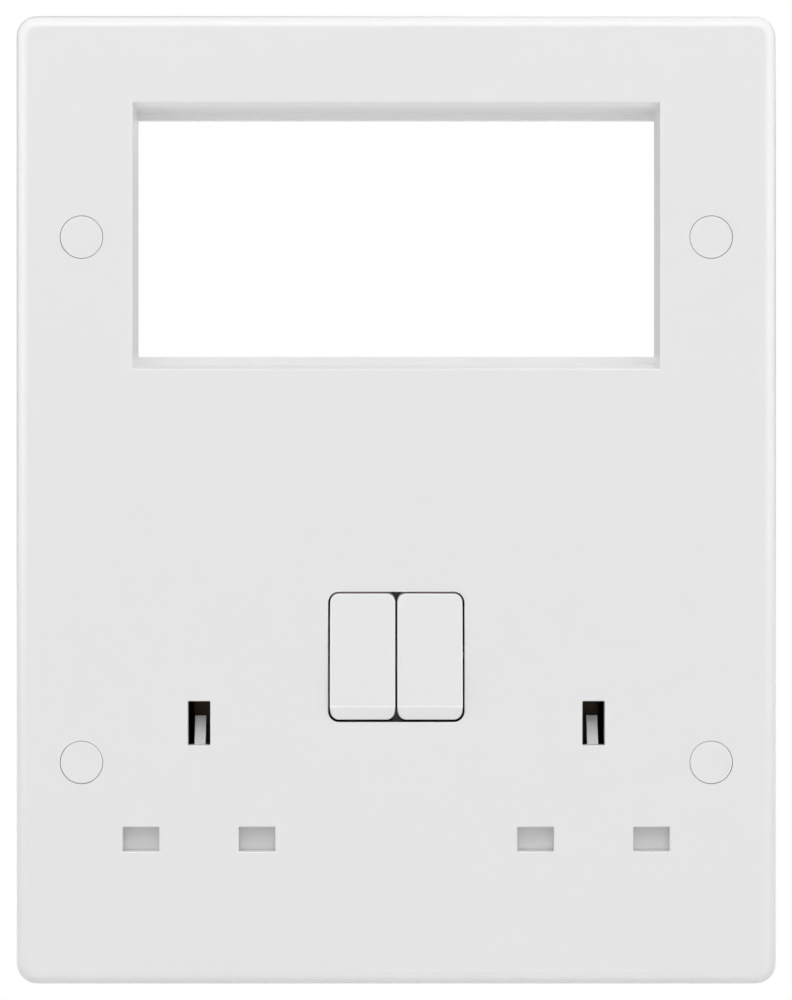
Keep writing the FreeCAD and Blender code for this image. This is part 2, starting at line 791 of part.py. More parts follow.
def line_contact(name, side):
    body = new_body("line_contact_" + name)
    half = "strip_width / 2"
    clip_x = line_x(side)
    run_z = "line_z" if side < 0 else "line_run_z"
    top_z = f"rocker_z + tip_reach + {half}"
    strip(body, sided(side, f"rocker_x - {half}", f"lane_x + {half}"), around("rocker_z + tip_reach", half))
    strip(body, sided(side, f"lane_x - {half}", f"lane_x + {half}"), (f"{run_z} - {half}", top_z))
    if side < 0:
        strip(body, (clip_x, f"{half} - lane_x"), around(run_z, half))
    else:
        strip(body, (f"lane_x - {half}", f"{clip_x} + {half}"), around(run_z, half))
        strip(body, around(clip_x, half), ("line_z", f"{run_z} + {half}"))
    pin_clip(body, clip_x)
    finish(body, "line_contact_" + name)


def line_busbar():
    """The incoming line: a bar under both seesaws, their fulcrums, and a leg down to the line terminal."""
    body = new_body("line_busbar")
    half = "strip_width / 2"
    box(body, around("0", "rocker_x + seesaw_width / 2"), ("bus_front", "bus_back"),
        around("rocker_z", "bus_height / 2"))
    box(body, around("0", half), ("bus_front", "bus_back"), (f"line_z - {half}", "rocker_z"))
    box(body, (f"0 - {half}", f"terminal_inner_x + {half}"), ("bus_front", "bus_back"),
        around("line_z", half))
    box(body, around("terminal_inner_x", half), ("bus_front", "bus_back"), ("block_top", "line_z"))
    for side in sides.values():
        box(body, around(f"{side} * rocker_x", "seesaw_width / 2"),
            ("seesaw_y + seesaw_lift / 2", "bus_front"), around("rocker_z", "fulcrum_half"))
        rod_x(body, "knuckle_radius + knuckle_clearance", around(f"{side} * rocker_x", "seesaw_width / 2"),
              "seesaw_y", "rocker_z", cut=True)
    finish(body, "line_busbar")


def neutral_bar():
    body = new_body("neutral_bar")
    half = "strip_width / 2"
    left, right = neutral_x(-1), neutral_x(1)
    strip(body, (f"{left} - {half}", f"{right} + {half}"), around("neutral_run_z", "neutral_run_height / 2"))
    for x in (left, right):
        strip(body, around(x, half), ("neutral_run_z", "line_z"))
        pin_clip(body, x)
    strip(body, around("0 - terminal_inner_x", half), ("block_top", "neutral_run_z"))
    finish(body, "neutral_bar")


def earth_strap():
    """A strap along the housing floor with a pair of leaves for each earth pin."""
    body = new_body("earth_strap")
    ys = ("strap_front", "floor_y")
    half = "strap_width / 2"
    clip_top = "earth_z + earth_slot_height / 2"
    box(body, around("0", "outlet_x + clip_width / 2"), ys, around("strap_z", half))
    for side in sides.values():
        centre = outlet(side)
        box(body, around(centre, "clip_width / 2"), ys, ("strap_z", clip_top))
        box(body, around(f"{side} * terminal_outer_x", half), ys, ("block_top", "strap_z"))
        box(body, around(f"{side} * terminal_outer_x", "block_width / 2"), ys, ("block_bottom", "block_top"))
        rod_y(body, "terminal_screw_radius + terminal_head_clearance", ys, f"{side} * terminal_outer_x",
              "terminal_z", cut=True)
        for end in (-1, 1):
            leaf = [
                (f"{centre} + {end} * clip_width / 2", "strap_front"),
                (f"{centre} + {end} * (clip_width / 2 - clip_leaf)", "strap_front"),
                (f"{centre} + {end} * clip_grip", "face + clip_grip_depth"),
                (f"{centre} + {end} * clip_mouth", "face + clip_mouth_depth"),
                (f"{centre} + {end} * (clip_mouth + clip_leaf)", "face + clip_mouth_depth"),
                (f"{centre} + {end} * (clip_grip + clip_leaf)", "face + clip_grip_depth"),
            ]
            pad(body, "XY_Plane", leaf, "earth_z - earth_slot_height / 2", "earth_slot_height")
    finish(body, "earth_strap")


def terminal_block(name, x):
    body = new_body(name + "_terminal")
    box(body, around(x, "block_width / 2"), ("block_front", "strap_front"), ("block_bottom", "block_top"))
    rod_z(body, "wire_radius", ("block_bottom", "block_bottom + wire_depth"), x, "wire_y", cut=True)
    rod_y(body, "terminal_screw_radius + thread_clearance", ("wire_y", "strap_front"), x, "terminal_z",
          cut=True)
    finish(body, name + "_terminal")


def terminal_screw(name, x):
    body = new_body(name + "_screw")
    head_back = "back_y - seat_gap"
    head_front = f"{head_back} - terminal_head_thick"
    rod_y(body, "terminal_head_radius", (head_front, head_back), x, "terminal_z")
    rod_y(body, "terminal_screw_radius", ("wire_y + wire_radius + seat_gap", head_front), x, "terminal_z")
    box(body, around(x, "terminal_head_radius"), (f"{head_back} - drive_depth", head_back),
        around("terminal_z", "drive_width / 2"), cut=True)
    finish(body, name + "_screw")


def housing_tray():
    body = new_body("housing_tray")
    box(body, around("0", "housing_half"), ("skin_back + rim_gap", "back_y"),
        ("housing_bottom", "housing_top"))
    round_edges(body, "housing_corner", lambda edge: runs_along(edge, "y"))
    round_edges(body, "housing_edge_round", lambda edge: in_plane_y(edge, number("back_y")))
    box(body, around("0", "inner_half"), ("skin_back + rim_gap", "floor_y"),
        ("inner_bottom", "housing_top - housing_wall"), cut=True)
    return body


def side_supports(side):
    """Ribs on one side that carry conductors, stop the seesaw and hold the rocker and shutter in place."""
    half = "support_half"
    x = f"{side} * rocker_x"
    stop = "seesaw_y - seesaw_lift * cos(rocker_tilt * 1 deg) + seesaw_down * sin(rocker_tilt * 1 deg)"
    prong = f"{side} * (cheek_in + cheek_thick / 2)"
    ribs = [
        box(None, around(x, half), ("strip_back", "floor_y"), around("rocker_z + tip_reach", half)),
        box(None, around(f"{side} * lane_x", half), ("strip_back", "floor_y"),
            around("rocker_z", "cheek_height / 2")),
        box(None, around(x, half), (f"{stop} + contact_gap", "floor_y"),
            around("rocker_z - seesaw_down + support_half", half)),
        box(None, around(prong, "post_half"), ("pivot_y + notch_radius + seat_gap", "floor_y"),
            around("rocker_z", "prong_half")),
    ]
    for pin in (line_x(side), neutral_x(side)):
        ribs.append(box(None, around(pin, half), ("strip_back", "floor_y"), around("line_z", half)))
    for end in (-1, 1):
        ribs.append(box(None, around(f"{outlet(side)} + {end} * post_x", "post_half"),
                        ("post_front", "floor_y"), around("line_z", half)))
    return ribs


def middle_supports():
    across = around("0", "support_half")
    ribs = [box(None, across, ("bus_back", "floor_y"), around("rocker_z", "bus_height / 2")),
            box(None, across, ("bus_back", "floor_y"), around("line_z", "support_half"))]
    for x in (terminal_places["line"], terminal_places["neutral"]):
        ribs.append(box(None, around(x, "block_width / 2"), ("strap_front", "floor_y"),
                        ("block_bottom", "block_top")))
    return ribs


def rear_housing():
    solids = [housing_tray()] + side_supports(-1) + side_supports(1) + middle_supports()
    tools = []
    window_half = "terminal_head_radius + terminal_head_clearance"
    for x in terminal_places.values():
        tools.append(box(None, around(x, window_half), ("strap_front", "back_y"),
                         around("terminal_z", window_half)))
        tools.append(rod_z(None, "wire_entry_radius", ("housing_bottom", "inner_bottom"), x, "wire_y"))
    for x, z in cover_places:
        solids.append(rod_y(None, "housing_boss_radius", ("boss_back", "floor_y"), x, z))
        tools.append(rod_y(None, "cover_radius + cover_clearance", ("boss_back", "back_y"), x, z))
        tools.append(rod_y(None, "counterbore_radius", ("cover_seat", "back_y"), x, z))
    finish(cut_from("rear_housing", join("housing_solid", solids), tools), "rear_housing")


def shutter(name, side):
    """One moulding: a bar over the line and neutral slots, a stem, and a ramp that the earth pin pushes."""
    body = new_body("shutter_" + name)
    centre = outlet(side)
    ys = ("shutter_front", "shutter_back")
    box(body, around(centre, "bar_half"), ys, ("bar_bottom", "bar_top"))
    box(body, around(centre, "shutter_stem_width / 2"), ys, ("bar_top", "ramp_bottom - ramp_end"))
    box(body, around(centre, "spring_seat_half"), ("shutter_front", "spring_seat_y"),
        ("bar_bottom", "bar_top - shutter_cover"))
    ramp = [
        ("shutter_front", "ramp_bottom"),
        ("ramp_back - ramp_end", "ramp_top"),
        ("ramp_back", "ramp_top"),
        ("ramp_back", "ramp_top - ramp_end"),
        ("shutter_back", "ramp_bottom - ramp_end - shutter_thick"),
        ("shutter_front", "ramp_bottom - ramp_end - shutter_thick"),
    ]
    pad(body, "YZ_Plane", ramp, f"{centre} - ramp_width / 2", "ramp_width")
    finish(body, "shutter_" + name)


front_plate()
rear_housing()
for place_name, (place_x, place_z) in fixing_places.items():
    screw_cap(place_name, place_x, place_z)
fixing_screws()
cover_screws()
for side_name, sign in sides.items():
    rocker(side_name, sign)
    plunger(side_name, sign)
    plunger_spring(side_name, sign)
    seesaw(side_name, sign)
    fixed_tip(side_name, sign)
    line_contact(side_name, sign)
    shutter(side_name, sign)
    shutter_spring(side_name, sign)
line_busbar()
neutral_bar()
earth_strap()
for terminal_name, terminal_x in terminal_places.items():
    terminal_block(terminal_name, terminal_x)
    terminal_screw(terminal_name, terminal_x)

doc.recompute()
failed = [item.Name for item in doc.Objects if {"Invalid", "Error"} & set(item.State)]
if failed:
    raise RuntimeError("these objects failed: " + ", ".join(failed))
for node in nodes:
    if node.Shape.isNull() or not node.Shape.isValid():
        raise RuntimeError(node.Label + " has no valid shape")

os.makedirs("parts", exist_ok=True)
for node in nodes:
    node.Shape.exportStep("parts/" + node.Label + ".step")
    print(node.Label, len(node.Shape.Solids), "solids", round(node.Shape.Volume, 2), "mm3")
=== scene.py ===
import bmesh
import bpy
import json
import math
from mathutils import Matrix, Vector


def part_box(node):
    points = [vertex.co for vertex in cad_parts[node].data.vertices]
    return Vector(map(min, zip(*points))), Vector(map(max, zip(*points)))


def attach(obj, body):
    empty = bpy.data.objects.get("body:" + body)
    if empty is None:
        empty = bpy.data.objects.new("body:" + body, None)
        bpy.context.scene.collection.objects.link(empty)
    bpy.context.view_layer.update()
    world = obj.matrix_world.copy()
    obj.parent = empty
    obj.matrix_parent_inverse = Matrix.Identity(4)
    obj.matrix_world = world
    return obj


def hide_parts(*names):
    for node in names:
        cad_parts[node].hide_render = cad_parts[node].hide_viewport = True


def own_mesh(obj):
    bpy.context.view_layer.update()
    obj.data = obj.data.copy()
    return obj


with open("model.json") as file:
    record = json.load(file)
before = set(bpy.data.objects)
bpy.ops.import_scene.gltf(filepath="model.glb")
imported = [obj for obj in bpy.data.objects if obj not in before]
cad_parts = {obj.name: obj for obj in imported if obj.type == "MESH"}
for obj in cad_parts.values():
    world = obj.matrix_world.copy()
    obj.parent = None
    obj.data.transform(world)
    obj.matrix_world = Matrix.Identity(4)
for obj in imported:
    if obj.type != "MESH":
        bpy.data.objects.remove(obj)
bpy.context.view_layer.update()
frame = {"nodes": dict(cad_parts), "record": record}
nodes = frame["nodes"]
mm = 0.001
sides = {"left": -1, "right": 1}
terminals = ("earth_left", "neutral", "line", "earth_right")
meshCare = {"mergeReach": 0.002 * mm, "smoothAngle": math.radians(32)}
print("frame loaded:", len(nodes), "nodes")


def clearSelection():
    if bpy.context.mode != "OBJECT":
        bpy.ops.object.mode_set(mode="OBJECT")
    bpy.ops.object.select_all(action="DESELECT")


def pickOnly(piece):
    clearSelection()
    piece.select_set(True)
    bpy.context.view_layer.objects.active = piece


def openMesh(piece):
    pickOnly(piece)
    bpy.ops.object.mode_set(mode="EDIT")
    bpy.ops.mesh.select_mode(type="FACE")
    bpy.ops.mesh.select_all(action="SELECT")


def closeMesh():
    bpy.ops.object.mode_set(mode="OBJECT")


def pickParts(piece, kind, wanted):  # in edit mode, leaves only the wanted edges or faces picked
    bpy.ops.mesh.select_mode(type=kind)
    bpy.ops.mesh.select_all(action="DESELECT")
    mesh = bmesh.from_edit_mesh(piece.data)
    for part in {"EDGE": mesh.edges, "FACE": mesh.faces}[kind]:
        part.select_set(wanted(part))
    mesh.select_flush_mode()
    bmesh.update_edit_mesh(piece.data)


def useModifier(piece, kind, **settings):
    pickOnly(piece)
    modifier = piece.modifiers.new(kind.lower(), kind)
    for key, value in settings.items():
        setattr(modifier, key, value)
    bpy.ops.object.modifier_apply(modifier=modifier.name)


def fixNormals(piece):
    openMesh(piece)
    bpy.ops.mesh.remove_doubles(threshold=meshCare["mergeReach"])
    bpy.ops.mesh.normals_make_consistent(inside=False)
    closeMesh()


def copyTo(piece, offset):  # a copy with its own mesh
    pickOnly(piece)
    bpy.ops.object.duplicate(linked=False)
    twin = bpy.context.active_object
    twin.location = Vector(twin.location) + Vector(offset)
    return twin


def joinAll(pieces):
    clearSelection()
    for piece in pieces:
        piece.select_set(True)
    bpy.context.view_layer.objects.active = pieces[0]
    bpy.ops.object.join()
    return bpy.context.active_object


def handIn(piece, name, finish, body, slotName, *stoodFor):  # place into the mesh, then finish and body
    pickOnly(piece)
    bpy.ops.object.transform_apply(location=True, rotation=True, scale=True)
    bpy.ops.object.shade_smooth_by_angle(angle=meshCare["smoothAngle"])
    piece.name = name
    piece.data.name = name
    piece.data.materials.clear()
    piece.data.materials.append(finish)
    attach(piece, body)
    if stoodFor:
        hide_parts(*stoodFor)


# materials
def addNode(tree, kind, **settings):
    node = tree.nodes.new(kind)
    for key, value in settings.items():
        setattr(node, key, value)
    return node


def setInputs(node, **values):
    for key, value in values.items():
        node.inputs[key.replace("_", " ")].default_value = value


def mathStep(tree, operation, first, second, third=None):
    node = addNode(tree, "ShaderNodeMath", operation=operation)
    for index, value in enumerate((first, second, third)):
        if value is None:
            continue
        if isinstance(value, (int, float)):
            node.inputs[index].default_value = value
        else:
            tree.links.new(value, node.inputs[index])
    return node.outputs["Value"]


def objectPlace(tree):
    return addNode(tree, "ShaderNodeTexCoord").outputs["Object"]


def splitPlace(tree):
    place = addNode(tree, "ShaderNodeSeparateXYZ")
    tree.links.new(objectPlace(tree), place.inputs["Vector"])
    return place.outputs


def noiseOn(tree, place, scale, detail, roughness=0.5):
    noise = addNode(tree, "ShaderNodeTexNoise")
    setInputs(noise, Scale=scale, Detail=detail, Roughness=roughness)
    tree.links.new(place, noise.inputs["Vector"])
    return noise.outputs["Fac"]


def newGroup(name, colours):  # two colours and a range of gloss in; colour, roughness and height out
    group = bpy.data.node_groups.new(name, "ShaderNodeTree")
    sockets = [(label, "INPUT", "NodeSocketColor") for label in colours]
    sockets += [(label, "INPUT", "NodeSocketFloat") for label in ("Gloss Low", "Gloss High")]
    sockets += [("Colour", "OUTPUT", "NodeSocketColor")]
    sockets += [(label, "OUTPUT", "NodeSocketFloat") for label in ("Roughness", "Height")]
    for label, way, kind in sockets:
        group.interface.new_socket(name=label, in_out=way, socket_type=kind)
    return group, addNode(group, "NodeGroupInput"), addNode(group, "NodeGroupOutput")


def wireFinish(group, given, result, colours, tone, gloss):  # colour follows tone, roughness gloss
    mix = addNode(group, "ShaderNodeMix", data_type="RGBA")
    group.links.new(tone, mix.inputs["Factor"])
    for label, socket in zip(colours, "AB"):
        group.links.new(given.outputs[label], mix.inputs[socket])
    group.links.new(mix.outputs["Result"], result.inputs["Colour"])
    spread = addNode(group, "ShaderNodeMapRange")
    group.links.new(gloss, spread.inputs["Value"])
    group.links.new(given.outputs["Gloss Low"], spread.inputs["To Min"])
    group.links.new(given.outputs["Gloss High"], spread.inputs["To Max"])
    group.links.new(spread.outputs["Result"], result.inputs["Roughness"])


mouldedSkin = {
    "colours": ("Light", "Shade"),
    "flowScale": 22, "flowDetail": 3.0, "flowShare": 0.65,
    "speckScale": 900, "speckDetail": 1.0, "speckShare": 0.35, "speckHeight": 0.3,
    "peelScale": 420, "peelDetail": 2.0,
}


def makeMouldedSkin(look):  # soft flow shades, fine specks and the slight orange peel of a moulding
    group, given, result = newGroup("mouldedSkin", look["colours"])
    place = objectPlace(group)
    flow = noiseOn(group, place, look["flowScale"], look["flowDetail"])
    speck = noiseOn(group, place, look["speckScale"], look["speckDetail"])
    peel = noiseOn(group, place, look["peelScale"], look["peelDetail"])
    flowTone = mathStep(group, "MULTIPLY", flow, look["flowShare"])
    tone = mathStep(group, "MULTIPLY_ADD", speck, look["speckShare"], flowTone)
    wireFinish(group, given, result, look["colours"], tone, flow)
    height = mathStep(group, "MULTIPLY_ADD", speck, look["speckHeight"], peel)
    group.links.new(height, result.inputs["Height"])
    return group


metalGrain = {
    "colours": ("Bright", "Dull"),
    "streak": (260, 260, 9000), "streakScale": 1.0, "streakDetail": 3.0,
    "cloudScale": 160, "cloudDetail": 4.0, "noiseRoughness": 0.6,
}


def makeMetalGrain(look):  # drawn streaks, with dull clouds where hands and tools have been
    group, given, result = newGroup("metalGrain", look["colours"])
    place = objectPlace(group)
    stretch = addNode(group, "ShaderNodeMapping")
    setInputs(stretch, Scale=look["streak"])
    group.links.new(place, stretch.inputs["Vector"])
    streak = noiseOn(group, stretch.outputs["Vector"], look["streakScale"], look["streakDetail"],
                     look["noiseRoughness"])
    cloud = noiseOn(group, place, look["cloudScale"], look["cloudDetail"], look["noiseRoughness"])
    tone = mathStep(group, "MULTIPLY", cloud, streak)
    wireFinish(group, given, result, look["colours"], tone, cloud)
    group.links.new(streak, result.inputs["Height"])
    return group


skinGroup = makeMouldedSkin(mouldedSkin)
grainGroup = makeMetalGrain(metalGrain)


def grey(level):
    return (level, level, level, 1)


def startMaterial(name, group, look):
    material = bpy.data.materials.new(name)
    material.use_nodes = True
    tree = material.node_tree
    shader = tree.nodes["Principled BSDF"]
    setInputs(shader, IOR=look["ior"], Metallic=look["metallic"])
    effect = addNode(tree, "ShaderNodeGroup", node_tree=group)
    for socket, value in look["effect"].items():
        effect.inputs[socket].default_value = value
    tree.links.new(effect.outputs["Colour"], shader.inputs["Base Color"])
    tree.links.new(effect.outputs["Roughness"], shader.inputs["Roughness"])
    bump = addNode(tree, "ShaderNodeBump")
    setInputs(bump, Strength=look["bump"], Distance=look["bumpDepth"])
    tree.links.new(effect.outputs["Height"], bump.inputs["Height"])
    tree.links.new(bump.outputs["Normal"], shader.inputs["Normal"])
    return material, tree, shader, effect


def mouldedPlastic(name, light, shade, gloss, bump=0.12, bumpDepth=0.02 * mm):
    effect = {"Light": light, "Shade": shade, "Gloss Low": gloss[0], "Gloss High": gloss[1]}
    look = {"ior": 1.5, "metallic": 0.0, "bump": bump, "bumpDepth": bumpDepth, "effect": effect}
    return startMaterial(name, skinGroup, look)


def stampedMetal(name, bright, dull, gloss):
    effect = {"Bright": bright, "Dull": dull, "Gloss Low": gloss[0], "Gloss High": gloss[1]}
    look = {"ior": 1.5, "metallic": 1.0, "bump": 0.15, "bumpDepth": 0.01 * mm, "effect": effect}
    return startMaterial(name, grainGroup, look)[0]


rockerPivot = {"x": 6.45 * mm, "y": -5.0 * mm, "z": -30.1 * mm, "tilt": math.radians(6)}
whitePlastic = {"light": grey(0.81), "shade": grey(0.79)}
# painted shade: inside this box, below the face, the plate's walls round the rockers and the bridge
# between them are coloured near black
plateSlitShade = {"middle": (0.0, -5.1 * mm, -30.1 * mm), "reach": (13.6 * mm, 3.8 * mm, 15.6 * mm),
            "tone": 0.006}
# painted shade, near black, on the rocker's skirt in the slit; a painted highlight along the crease, and
# painted light on the facet below it
rockerShadeAndHighlight = {"depthFromPivot": 3.1 * mm, "tone": 0.006, "creaseHighlight": -39.5 * mm,
             "creaseHighlightHalf": 0.14 * mm, "highlightTone": 0.97, "facetLightShare": 0.35}


def tintWhere(tree, colour, mask, tone):
    mix = addNode(tree, "ShaderNodeMix", data_type="RGBA")
    mix.inputs["B"].default_value = grey(tone)
    tree.links.new(mask, mix.inputs["Factor"])
    tree.links.new(colour, mix.inputs["A"])
    return mix.outputs["Result"]


def plateWhite(look):  # white, with painted shade: near black on the walls of the slit around and between the rockers
    material, tree, shader, effect = mouldedPlastic("plateWhite", gloss=(0.2, 0.27), **whitePlastic)
    place = splitPlace(tree)
    # inside is 1 in the painted shade box and 0 elsewhere
    inside = 1.0
    for axis, middle, reach in zip("XYZ", look["middle"], look["reach"]):
        near = mathStep(tree, "COMPARE", place[axis], middle, reach)
        inside = mathStep(tree, "MULTIPLY", near, inside)
    colour = tintWhere(tree, effect.outputs["Colour"], inside, look["tone"])
    tree.links.new(colour, shader.inputs["Base Color"])
    return material


def rockerWhite(look):  # white, with a painted highlight along the crease, painted light on the facet below it, and painted shade, near black, on the skirt in the slit
    material, tree, shader, effect = mouldedPlastic("rockerWhite", gloss=(0.18, 0.25), **whitePlastic)
    outward = Vector((0, -math.cos(rockerPivot["tilt"]), math.sin(rockerPivot["tilt"])))
    along = addNode(tree, "ShaderNodeVectorMath", operation="DOT_PRODUCT")
    tree.links.new(objectPlace(tree), along.inputs[0])
    along.inputs[1].default_value = outward
    limit = look["depthFromPivot"] + outward.dot(Vector((0, rockerPivot["y"], rockerPivot["z"])))
    # painted shade on the skirt, the part of the rocker lying deeper than depthFromPivot in front of the
    # pivot
    skirtShade = mathStep(tree, "LESS_THAN", along.outputs["Value"], limit)
    height = splitPlace(tree)["Z"]
    # painted light on the facet below the crease, and a thin painted highlight along the crease
    below = mathStep(tree, "LESS_THAN", height, look["creaseHighlight"])
    facetLight = mathStep(tree, "MULTIPLY", below, look["facetLightShare"])
    creaseHighlight = mathStep(tree, "COMPARE", height, look["creaseHighlight"], look["creaseHighlightHalf"])
    paintedLight = mathStep(tree, "MAXIMUM", facetLight, creaseHighlight)
    colour = tintWhere(tree, effect.outputs["Colour"], paintedLight, look["highlightTone"])
    tree.links.new(tintWhere(tree, colour, skirtShade, look["tone"]), shader.inputs["Base Color"])
    return material


finishes = {
    "plate_white": plateWhite(plateSlitShade),
    "rocker_white": rockerWhite(rockerShadeAndHighlight),
    "housing_black": mouldedPlastic("housingBlack", light=grey(0.022), shade=grey(0.013),
                                    gloss=(0.42, 0.56), bump=0.5, bumpDepth=0.05 * mm)[0],
    "shutter_grey": mouldedPlastic("shutterGrey", light=grey(0.72), shade=grey(0.69),
                                   gloss=(0.4, 0.5), bump=0.25)[0],
    "guide_grey": mouldedPlastic("guideGrey", light=grey(0.5), shade=grey(0.46),
                                 gloss=(0.4, 0.5), bump=0.25)[0],
    "plated_steel": stampedMetal("platedSteel", bright=(0.74, 0.73, 0.69, 1),
                                 dull=(0.5, 0.49, 0.46, 1), gloss=(0.2, 0.36)),
    "spring_steel": stampedMetal("springSteel", bright=grey(0.62), dull=grey(0.4), gloss=(0.25, 0.4)),
    "brass": stampedMetal("brightBrass", bright=(0.83, 0.6, 0.28, 1), dull=(0.55, 0.36, 0.14, 1),
                          gloss=(0.2, 0.4)),
    "contact_silver": stampedMetal("contactSilver", bright=grey(0.86), dull=grey(0.7), gloss=(0.2, 0.32)),
}
redMarkPaint = mouldedPlastic("redMarkPaint", light=(0.6, 0.02, 0.02, 1), shade=(0.5, 0.015, 0.015, 1),
                              gloss=(0.3, 0.4))[0]
# the inner contacts, seen only deep in the slots, are coloured a dark dull bronze
darkDullBronze = stampedMetal("darkDullBronze", bright=(0.16, 0.12, 0.08, 1), dull=(0.07, 0.05, 0.03, 1),
                          gloss=(0.35, 0.55))
innerContacts = ("line_busbar", "neutral_bar", "earth_strap", "line_contact_", "seesaw_contact_")
for part in frame["record"]["subparts"]:
    skin = nodes[part["node"]].data.materials
    skin.clear()
    inner = part["node"].startswith(innerContacts)
    skin.append(darkDullBronze if inner else finishes[part["material_slot"]])
print("materials made:", len(finishes) + 2)

# screws: cut thread, plain neck and driven head, made along Z with the seat of the head at zero
fixingScrew = {
    "node": "fixing_screws", "length": 24.9 * mm, "tip": 1.0 * mm, "tipShare": 0.75,
    "crest": 1.75 * mm, "root": 1.42 * mm, "pitch": 0.6 * mm, "neck": 4.6 * mm, "neckRadius": 1.5 * mm,
    "head": 3.3 * mm, "headThick": 2.2 * mm, "rim": 0.9 * mm,
    "slot": (4.2 * mm, 0.75 * mm, 1.1 * mm), "turns": (45, 135),
}
coverScrew = {
    "node": "cover_screws", "length": 9.0 * mm, "tip": 2.2 * mm, "tipShare": 0.2,
    "crest": 1.45 * mm, "root": 1.02 * mm, "pitch": 1.1 * mm, "neck": 0.6 * mm, "neckRadius": 1.2 * mm,
    "head": 2.6 * mm, "headThick": 2.0 * mm, "rim": 0.7 * mm,
    "slot": (3.4 * mm, 0.6 * mm, 1.0 * mm), "turns": (20, 110),
}
terminalScrew = {  # its length comes from the node it stands for
    "tip": 0.5 * mm, "tipShare": 0.85,
    "crest": 2.0 * mm, "root": 1.66 * mm, "pitch": 0.7 * mm, "neck": 0.4 * mm, "neckRadius": 1.7 * mm,
    "head": 3.0 * mm, "headThick": 1.5 * mm, "rim": 0.35 * mm,
    "slot": (7.0 * mm, 0.8 * mm, 0.8 * mm), "turns": (90,),
}
screwForm = {
    "outline": (("root", 0.0), ("crest", 0.4), ("crest", 0.6), ("root", 1.0)),  # shares of the pitch
    "closingShare": 0.95, "leadIn": 1.5, "spareTurns": 2, "threadSteps": 24,
    "headSides": 48, "rimSteps": 4, "neckSides": 32, "neckOverlap": 0.4 * mm,
}


def threadLine(look):  # one turn's open outline, in the XZ plane
    pitch = look["pitch"]
    clearSelection()
    bpy.ops.mesh.primitive_circle_add(vertices=len(screwForm["outline"]), radius=mm)
    line = bpy.context.active_object
    openMesh(line)
    mesh = bmesh.from_edit_mesh(line.data)
    for vert, (radius, share) in zip(mesh.verts, screwForm["outline"]):
        vert.co = (look[radius], 0, look["neck"] + (share - screwForm["leadIn"]) * pitch)
    bmesh.update_edit_mesh(line.data)
    pickParts(line, "EDGE", lambda edge: edge.calc_length() > screwForm["closingShare"] * pitch)
    bpy.ops.mesh.delete(type="EDGE_FACE")
    closeMesh()
    return line


def cutOff(piece, height, above):
    openMesh(piece)
    bpy.ops.mesh.bisect(plane_co=(0, 0, height), plane_no=(0, 0, 1), use_fill=True,
                        clear_inner=not above, clear_outer=above)
    closeMesh()


def makeThread(look):
    thread = threadLine(look)
    turns = math.ceil((look["length"] - look["neck"]) / look["pitch"]) + screwForm["spareTurns"]
    steps = screwForm["threadSteps"]
    useModifier(thread, "SCREW", axis="Z", angle=2 * math.pi, screw_offset=look["pitch"],
                iterations=turns, steps=steps, render_steps=steps)
    fixNormals(thread)
    cutOff(thread, look["neck"], False)
    cutOff(thread, look["length"], True)
    openMesh(thread)
    mesh = bmesh.from_edit_mesh(thread.data)
    for vert in mesh.verts:
        past = max(0.0, (vert.co.z - look["length"]) / look["tip"] + 1)
        vert.co.xy *= 1 - past * (1 - look["tipShare"])
    bmesh.update_edit_mesh(thread.data)
    closeMesh()
    return thread


def makeHead(look):
    long, wide, deep = look["slot"]
    clearSelection()
    bpy.ops.mesh.primitive_cylinder_add(vertices=screwForm["headSides"], radius=look["head"],
                                        depth=look["headThick"],
                                        location=(0, 0, -look["headThick"] / 2))
    head = bpy.context.active_object
    openMesh(head)
    pickParts(head, "EDGE", lambda edge: max(corner.co.z for corner in edge.verts) < 0)
    bpy.ops.mesh.bevel(offset=look["rim"], segments=screwForm["rimSteps"])
    closeMesh()
    for turn in look["turns"]:
        clearSelection()
        bpy.ops.mesh.primitive_cube_add(size=1, location=(0, 0, -look["headThick"]),
                                        rotation=(0, 0, math.radians(turn)))
        cutter = bpy.context.active_object
        cutter.scale = (long, wide, 2 * deep)
        useModifier(head, "BOOLEAN", operation="DIFFERENCE", object=cutter)
        bpy.data.objects.remove(cutter)
    return head


def makeScrew(look):
    thread = makeThread(look)
    clearSelection()
    bpy.ops.mesh.primitive_cylinder_add(vertices=screwForm["neckSides"], radius=look["neckRadius"],
                                        depth=look["neck"] + screwForm["neckOverlap"],
                                        location=(0, 0, look["neck"] / 2))
    neck = bpy.context.active_object
    return joinAll([makeHead(look), neck, thread])


def placeScrew(screw, place, tipTowards):  # 1 for a tip to the back, -1 for one to the front
    pickOnly(screw)
    bpy.ops.object.transform_apply(location=True, rotation=True, scale=True)
    screw.rotation_euler = (-tipTowards * math.pi / 2, 0, 0)
    screw.location = place


def screwSet(look, places, tipTowards):
    screw = makeScrew(look)
    placeScrew(screw, places[0], tipTowards)
    rest = [copyTo(screw, Vector(place) - Vector(places[0])) for place in places[1:]]
    return joinAll([screw] + rest)


def fixingPlaces(look):
    low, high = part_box(look["node"])
    inset = look["head"]
    return [(x, low.y + look["headThick"], z) for x in (low.x + inset, high.x - inset)
            for z in (low.z + inset, high.z - inset)]


def coverPlaces(look):  # the four corners, and one in the middle below
    low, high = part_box(look["node"])
    inset = look["head"]
    seat = high.y - look["headThick"]
    places = [(x, seat, z) for x in (low.x + inset, high.x - inset)
              for z in (low.z + inset, high.z - inset)]
    return places + [(0, seat, low.z + inset)]


